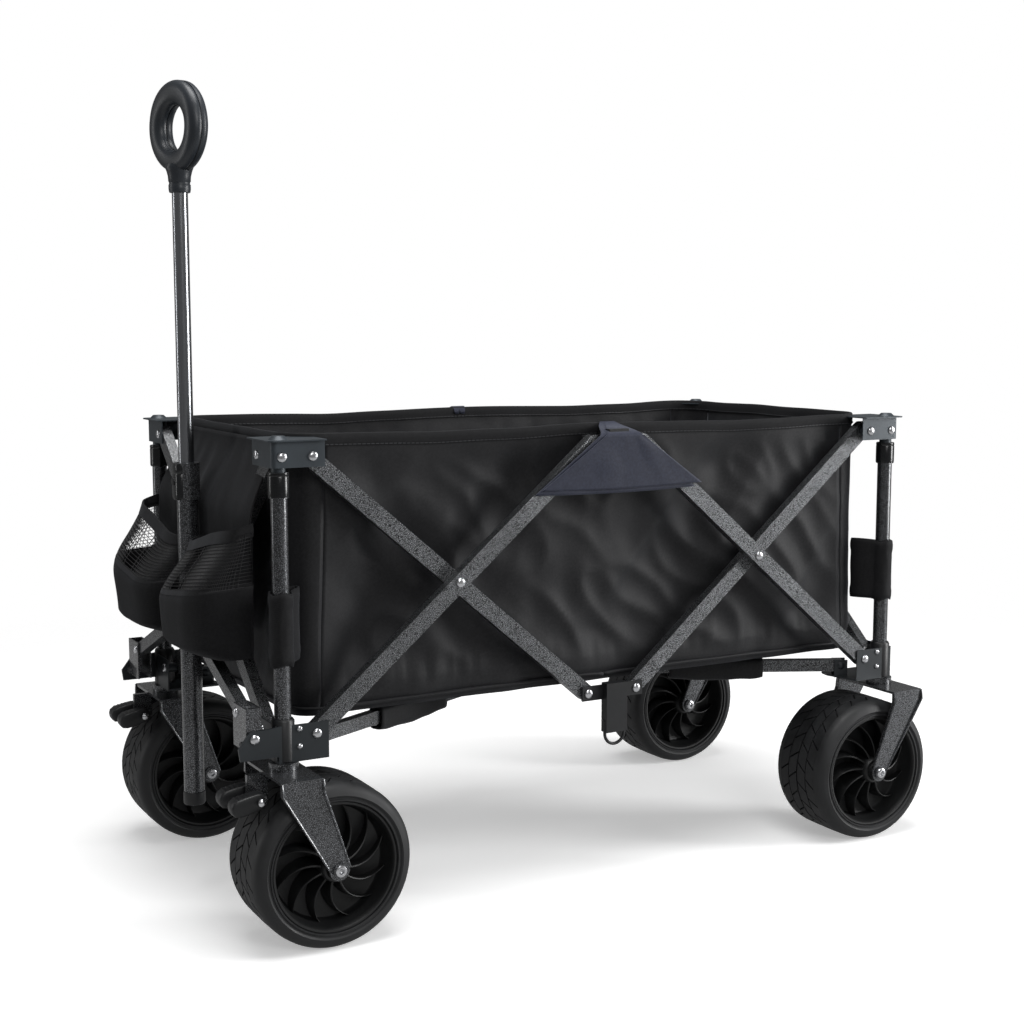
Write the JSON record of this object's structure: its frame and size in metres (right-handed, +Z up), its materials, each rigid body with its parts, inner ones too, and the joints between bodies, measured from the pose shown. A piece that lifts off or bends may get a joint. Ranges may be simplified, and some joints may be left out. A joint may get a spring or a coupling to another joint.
{
  "type": "folding camp wagon",
  "caption": "Folding fabric-walled camp wagon on wide wheels, with scissor side frames, swivelling front casters and a telescoping pull handle.",
  "frame": {"origin": "centre of the wagon's box on the ground, where the tyres stand", "axes": "+Z up; -X is the front, where the handle is; -Y is the wagon's left side"},
  "size_m": [1.002, 0.556, 0.9742],
  "materials": {
    "hammered_charcoal": "hammered powder coat",
    "hammered_silver": "hammered powder coat",
    "slate_sheet": "satin powder coat",
    "black_plastic": "moulded, satin",
    "tyre": "moulded foam rubber",
    "rim": "moulded, satin",
    "grip": "moulded, satin",
    "cloth": "coated oxford weave"
  },
  "bodies": {
    "front_left_base": {"front_left_post": "hammered_charcoal", "front_left_lower_bracket": "hammered_charcoal"},
    "front_left_upper": {"front_left_upper_bracket": "slate_sheet", "front_panel": "cloth"},
    "front_left_side_low_bar": {"front_left_side_low_bar": "hammered_silver"},
    "front_left_side_high_bar": {"front_left_side_high_bar": "hammered_silver"},
    "front_left_end_bar": {"front_left_end_bar": "hammered_silver"},
    "front_left_floor_arm": {"front_left_floor_arm": "hammered_silver"},
    "front_left_wheel": {"front_left_tyre": "tyre", "front_left_rim": "rim"},
    "front_left_caster": {"front_left_fork": "hammered_charcoal"},
    "front_left_brake": {"front_left_brake_pedal": "black_plastic"},
    "front_left_channel": {"front_left_handle_channel": "hammered_charcoal"},
    "front_left_yoke_arm": {"front_left_yoke_arm": "hammered_silver"},
    "front_right_base": {"front_right_post": "hammered_charcoal", "front_right_lower_bracket": "hammered_charcoal"},
    "front_right_upper": {"front_right_upper_bracket": "slate_sheet"},
    "front_right_side_low_bar": {"front_right_side_low_bar": "hammered_silver"},
    "front_right_side_high_bar": {"front_right_side_high_bar": "hammered_silver"},
    "front_right_end_bar": {"front_right_end_bar": "hammered_silver"},
    "front_right_floor_arm": {"front_right_floor_arm": "hammered_silver"},
    "front_right_wheel": {"front_right_tyre": "tyre", "front_right_rim": "rim"},
    "front_right_caster": {"front_right_fork": "hammered_charcoal"},
    "front_right_brake": {"front_right_brake_pedal": "black_plastic"},
    "front_right_channel": {"front_right_handle_channel": "hammered_charcoal"},
    "front_right_yoke_arm": {"front_right_yoke_arm": "hammered_silver"},
    "rear_left_base": {"rear_left_post": "hammered_charcoal", "rear_left_lower_bracket": "hammered_charcoal", "rear_left_fork": "hammered_charcoal"},
    "rear_left_upper": {"rear_left_upper_bracket": "slate_sheet", "rear_panel": "cloth"},
    "rear_left_side_low_bar": {"rear_left_side_low_bar": "hammered_silver"},
    "rear_left_side_high_bar": {"rear_left_side_high_bar": "hammered_silver"},
    "rear_left_end_bar": {"rear_left_end_bar": "hammered_silver"},
    "rear_left_floor_arm": {"rear_left_floor_arm": "hammered_silver"},
    "rear_left_wheel": {"rear_left_tyre": "tyre", "rear_left_rim": "rim"},
    "rear_right_base": {"rear_right_post": "hammered_charcoal", "rear_right_lower_bracket": "hammered_charcoal", "rear_right_fork": "hammered_charcoal"},
    "rear_right_upper": {"rear_right_upper_bracket": "slate_sheet"},
    "rear_right_side_low_bar": {"rear_right_side_low_bar": "hammered_silver"},
    "rear_right_side_high_bar": {"rear_right_side_high_bar": "hammered_silver"},
    "rear_right_end_bar": {"rear_right_end_bar": "hammered_silver"},
    "rear_right_floor_arm": {"rear_right_floor_arm": "hammered_silver"},
    "rear_right_wheel": {"rear_right_tyre": "tyre", "rear_right_rim": "rim"},
    "left_top_hub": {"left_top_hub": "black_plastic", "left_side_panel": "cloth"},
    "left_bottom_hub": {"left_bottom_hub": "black_plastic", "floor_mat": "cloth"},
    "right_top_hub": {"right_top_hub": "black_plastic", "right_side_panel": "cloth"},
    "right_bottom_hub": {"right_bottom_hub": "black_plastic"},
    "floor_spider": {"floor_spider": "black_plastic"},
    "pole": {"yoke_hub": "hammered_charcoal", "pole_outer": "hammered_charcoal"},
    "pole_slide": {"pole_inner": "hammered_silver", "grip": "grip"}
  },
  "joints": [
    {"name": "frame_fold", "type": "hinge", "parent": "front_left_base", "child": "front_left_side_low_bar", "pos_m": [-0.382, -0.218, 0.2402], "axis": [0, -1, 0], "range_deg": [0, 35.58], "deforming": ["left_side_panel", "right_side_panel", "front_panel", "rear_panel", "floor_mat"]},
    {"name": "front_left_cross", "type": "hinge", "parent": "front_left_side_low_bar", "child": "front_left_side_high_bar", "pos_m": [-0.2, -0.218, 0.3952], "axis": [0, 1, 0], "range_deg": [0, 71.17]},
    {"name": "front_left_upper_pivot", "type": "hinge", "parent": "front_left_side_high_bar", "child": "front_left_upper", "pos_m": [-0.382, -0.218, 0.5502], "axis": [0, -1, 0], "range_deg": [0, 35.59]},
    {"name": "left_top_hub_pivot", "type": "hinge", "parent": "front_left_side_low_bar", "child": "left_top_hub", "pos_m": [-0.018, -0.218, 0.5502], "axis": [0, 1, 0], "range_deg": [0, 35.59]},
    {"name": "left_bottom_hub_pivot", "type": "hinge", "parent": "front_left_side_high_bar", "child": "left_bottom_hub", "pos_m": [-0.018, -0.218, 0.2402], "axis": [0, -1, 0], "range_deg": [0, 35.59]},
    {"name": "rear_left_low_bar_head", "type": "hinge", "parent": "left_top_hub", "child": "rear_left_side_low_bar", "pos_m": [0.052, -0.218, 0.5502], "axis": [0, 1, 0], "range_deg": [0, 35.59]},
    {"name": "rear_left_cross", "type": "hinge", "parent": "rear_left_side_low_bar", "child": "rear_left_side_high_bar", "pos_m": [0.234, -0.218, 0.3952], "axis": [0, -1, 0], "range_deg": [0, 71.17]},
    {"name": "rear_left_base_pivot", "type": "hinge", "parent": "rear_left_side_low_bar", "child": "rear_left_base", "pos_m": [0.416, -0.218, 0.2402], "axis": [0, -1, 0], "range_deg": [0, 35.59]},
    {"name": "rear_left_upper_pivot", "type": "hinge", "parent": "rear_left_side_high_bar", "child": "rear_left_upper", "pos_m": [0.416, -0.218, 0.5502], "axis": [0, 1, 0], "range_deg": [0, 35.59]},
    {"name": "front_left_end_foot", "type": "hinge", "parent": "front_left_base", "child": "front_left_end_bar", "pos_m": [-0.418, -0.182, 0.2402], "axis": [1, 0, 0], "range_deg": [0, 35.59]},
    {"name": "front_end_cross", "type": "hinge", "parent": "front_left_end_bar", "child": "front_right_end_bar", "pos_m": [-0.418, 0, 0.3952], "axis": [-1, 0, 0], "range_deg": [0, 71.17]},
    {"name": "front_right_base_pivot", "type": "hinge", "parent": "front_right_end_bar", "child": "front_right_base", "pos_m": [-0.418, 0.182, 0.2402], "axis": [1, 0, 0], "range_deg": [0, 35.59]},
    {"name": "front_right_upper_pivot", "type": "hinge", "parent": "front_left_end_bar", "child": "front_right_upper", "pos_m": [-0.418, 0.182, 0.5502], "axis": [-1, 0, 0], "range_deg": [0, 35.59]},
    {"name": "front_right_low_bar_foot", "type": "hinge", "parent": "front_right_base", "child": "front_right_side_low_bar", "pos_m": [-0.382, 0.218, 0.2402], "axis": [0, -1, 0], "range_deg": [0, 35.59]},
    {"name": "front_right_cross", "type": "hinge", "parent": "front_right_side_low_bar", "child": "front_right_side_high_bar", "pos_m": [-0.2, 0.218, 0.3952], "axis": [0, 1, 0], "range_deg": [0, 71.17]},
    {"name": "right_top_hub_pivot", "type": "hinge", "parent": "front_right_side_low_bar", "child": "right_top_hub", "pos_m": [-0.018, 0.218, 0.5502], "axis": [0, 1, 0], "range_deg": [0, 35.59]},
    {"name": "right_bottom_hub_pivot", "type": "hinge", "parent": "front_right_side_high_bar", "child": "right_bottom_hub", "pos_m": [-0.018, 0.218, 0.2402], "axis": [0, -1, 0], "range_deg": [0, 35.59]},
    {"name": "rear_right_low_bar_head", "type": "hinge", "parent": "right_top_hub", "child": "rear_right_side_low_bar", "pos_m": [0.052, 0.218, 0.5502], "axis": [0, 1, 0], "range_deg": [0, 35.59]},
    {"name": "rear_right_cross", "type": "hinge", "parent": "rear_right_side_low_bar", "child": "rear_right_side_high_bar", "pos_m": [0.234, 0.218, 0.3952], "axis": [0, -1, 0], "range_deg": [0, 71.17]},
    {"name": "rear_right_base_pivot", "type": "hinge", "parent": "rear_right_side_low_bar", "child": "rear_right_base", "pos_m": [0.416, 0.218, 0.2402], "axis": [0, -1, 0], "range_deg": [0, 35.59]},
    {"name": "rear_right_upper_pivot", "type": "hinge", "parent": "rear_right_side_high_bar", "child": "rear_right_upper", "pos_m": [0.416, 0.218, 0.5502], "axis": [0, 1, 0], "range_deg": [0, 35.59]},
    {"name": "rear_left_end_foot", "type": "hinge", "parent": "rear_left_base", "child": "rear_left_end_bar", "pos_m": [0.452, -0.182, 0.2402], "axis": [1, 0, 0], "range_deg": [0, 35.59]},
    {"name": "rear_right_end_foot", "type": "hinge", "parent": "rear_right_base", "child": "rear_right_end_bar", "pos_m": [0.452, 0.182, 0.2402], "axis": [-1, 0, 0], "range_deg": [0, 35.59]},
    {"name": "front_left_floor_arm_pivot", "type": "hinge", "parent": "front_left_base", "child": "front_left_floor_arm", "pos_m": [-0.369, -0.193, 0.2272], "axis": [0.4472, -0.8944, 0], "range_deg": [0, 78.95]},
    {"name": "floor_spider_pivot", "type": "hinge", "parent": "front_left_floor_arm", "child": "floor_spider", "pos_m": [-0.06171, -0.03936, 0.2272], "axis": [-0.4472, 0.8944, 0], "range_deg": [0, 78.95]},
    {"name": "front_right_floor_arm_pivot", "type": "hinge", "parent": "front_right_base", "child": "front_right_floor_arm", "pos_m": [-0.369, 0.193, 0.2272], "axis": [-0.4472, -0.8944, 0], "range_deg": [0, 78.95]},
    {"name": "rear_left_floor_arm_pivot", "type": "hinge", "parent": "rear_left_base", "child": "rear_left_floor_arm", "pos_m": [0.403, -0.193, 0.2272], "axis": [0.4472, 0.8944, 0], "range_deg": [0, 78.95]},
    {"name": "rear_right_floor_arm_pivot", "type": "hinge", "parent": "rear_right_base", "child": "rear_right_floor_arm", "pos_m": [0.403, 0.193, 0.2272], "axis": [-0.4472, 0.8944, 0], "range_deg": [0, 78.95]},
    {"name": "front_left_swivel", "type": "hinge", "parent": "front_left_base", "child": "front_left_caster", "pos_m": [-0.418, -0.218, 0.199], "axis": [0, 0, 1], "continuous": true},
    {"name": "front_left_brake", "type": "hinge", "parent": "front_left_caster", "child": "front_left_brake", "pos_m": [-0.456, -0.218, 0.177], "axis": [0, -1, 0], "range_deg": [0, 18]},
    {"name": "front_right_swivel", "type": "hinge", "parent": "front_right_base", "child": "front_right_caster", "pos_m": [-0.418, 0.218, 0.199], "axis": [0, 0, 1], "continuous": true},
    {"name": "front_right_brake", "type": "hinge", "parent": "front_right_caster", "child": "front_right_brake", "pos_m": [-0.456, 0.218, 0.177], "axis": [0, -1, 0], "range_deg": [0, 18]},
    {"name": "front_left_wheel_spin", "type": "hinge", "parent": "front_left_caster", "child": "front_left_wheel", "pos_m": [-0.376, -0.218, 0.095], "axis": [0, 1, 0], "continuous": true},
    {"name": "front_right_wheel_spin", "type": "hinge", "parent": "front_right_caster", "child": "front_right_wheel", "pos_m": [-0.376, 0.218, 0.095], "axis": [0, 1, 0], "continuous": true},
    {"name": "rear_left_wheel_spin", "type": "hinge", "parent": "rear_left_base", "child": "rear_left_wheel", "pos_m": [0.406, -0.218, 0.095], "axis": [0, 1, 0], "continuous": true},
    {"name": "rear_right_wheel_spin", "type": "hinge", "parent": "rear_right_base", "child": "rear_right_wheel", "pos_m": [0.406, 0.218, 0.095], "axis": [0, 1, 0], "continuous": true},
    {"name": "handle_tilt", "type": "hinge", "parent": "front_left_base", "child": "front_left_channel", "pos_m": [-0.455, -0.218, 0.2422], "axis": [0, -1, 0], "range_deg": [0, 80]},
    {"name": "right_channel_tilt", "type": "hinge", "parent": "front_right_base", "child": "front_right_channel", "pos_m": [-0.455, 0.218, 0.2422], "axis": [0, -1, 0], "range_deg": [0, 80.01]},
    {"name": "front_left_yoke_pivot", "type": "hinge", "parent": "front_left_channel", "child": "front_left_yoke_arm", "pos_m": [-0.455, -0.194, 0.2662], "axis": [1, 0, 0], "range_deg": [0, 56.82]},
    {"name": "front_right_yoke_pivot", "type": "hinge", "parent": "front_right_channel", "child": "front_right_yoke_arm", "pos_m": [-0.455, 0.194, 0.2662], "axis": [-1, 0, 0], "range_deg": [0, 56.82]},
    {"name": "pole_yoke_pivot", "type": "hinge", "parent": "front_left_yoke_arm", "child": "pole", "pos_m": [-0.455, -0.038, 0.3302], "axis": [-1, 0, 0], "range_deg": [0, 56.82]},
    {"name": "pole_telescope", "type": "slide", "parent": "pole", "child": "pole_slide", "axis": [0, 0, 1], "range_m": [-0.3, 0]}
  ],
  "couplings": [
    {"joint": "front_left_cross", "follows": "frame_fold", "ratio": 2},
    {"joint": "front_left_upper_pivot", "follows": "frame_fold", "ratio": 1},
    {"joint": "left_top_hub_pivot", "follows": "frame_fold", "ratio": 1},
    {"joint": "left_bottom_hub_pivot", "follows": "frame_fold", "ratio": 1},
    {"joint": "rear_left_low_bar_head", "follows": "frame_fold", "ratio": 1},
    {"joint": "rear_left_cross", "follows": "frame_fold", "ratio": 2},
    {"joint": "rear_left_base_pivot", "follows": "frame_fold", "ratio": 1},
    {"joint": "rear_left_upper_pivot", "follows": "frame_fold", "ratio": 1},
    {"joint": "front_left_end_foot", "follows": "frame_fold", "ratio": 1},
    {"joint": "front_end_cross", "follows": "frame_fold", "ratio": 2},
    {"joint": "front_right_base_pivot", "follows": "frame_fold", "ratio": 1},
    {"joint": "front_right_upper_pivot", "follows": "frame_fold", "ratio": 1},
    {"joint": "front_right_low_bar_foot", "follows": "frame_fold", "ratio": 1},
    {"joint": "front_right_cross", "follows": "frame_fold", "ratio": 2},
    {"joint": "right_top_hub_pivot", "follows": "frame_fold", "ratio": 1},
    {"joint": "right_bottom_hub_pivot", "follows": "frame_fold", "ratio": 1},
    {"joint": "rear_right_low_bar_head", "follows": "frame_fold", "ratio": 1},
    {"joint": "rear_right_cross", "follows": "frame_fold", "ratio": 2},
    {"joint": "rear_right_base_pivot", "follows": "frame_fold", "ratio": 1},
    {"joint": "rear_right_upper_pivot", "follows": "frame_fold", "ratio": 1},
    {"joint": "rear_left_end_foot", "follows": "frame_fold", "ratio": 1},
    {"joint": "rear_right_end_foot", "follows": "frame_fold", "ratio": 1},
    {"joint": "front_left_floor_arm_pivot", "follows": "frame_fold", "ratio": 2.2186},
    {"joint": "floor_spider_pivot", "follows": "frame_fold", "ratio": 2.2186},
    {"joint": "front_right_floor_arm_pivot", "follows": "frame_fold", "ratio": 2.2186},
    {"joint": "rear_left_floor_arm_pivot", "follows": "frame_fold", "ratio": 2.2186},
    {"joint": "rear_right_floor_arm_pivot", "follows": "frame_fold", "ratio": 2.2186},
    {"joint": "right_channel_tilt", "follows": "handle_tilt", "ratio": 1},
    {"joint": "front_left_yoke_pivot", "follows": "frame_fold", "ratio": 1.5967},
    {"joint": "front_right_yoke_pivot", "follows": "frame_fold", "ratio": 1.5967},
    {"joint": "pole_yoke_pivot", "follows": "frame_fold", "ratio": 1.5967}
  ]
}
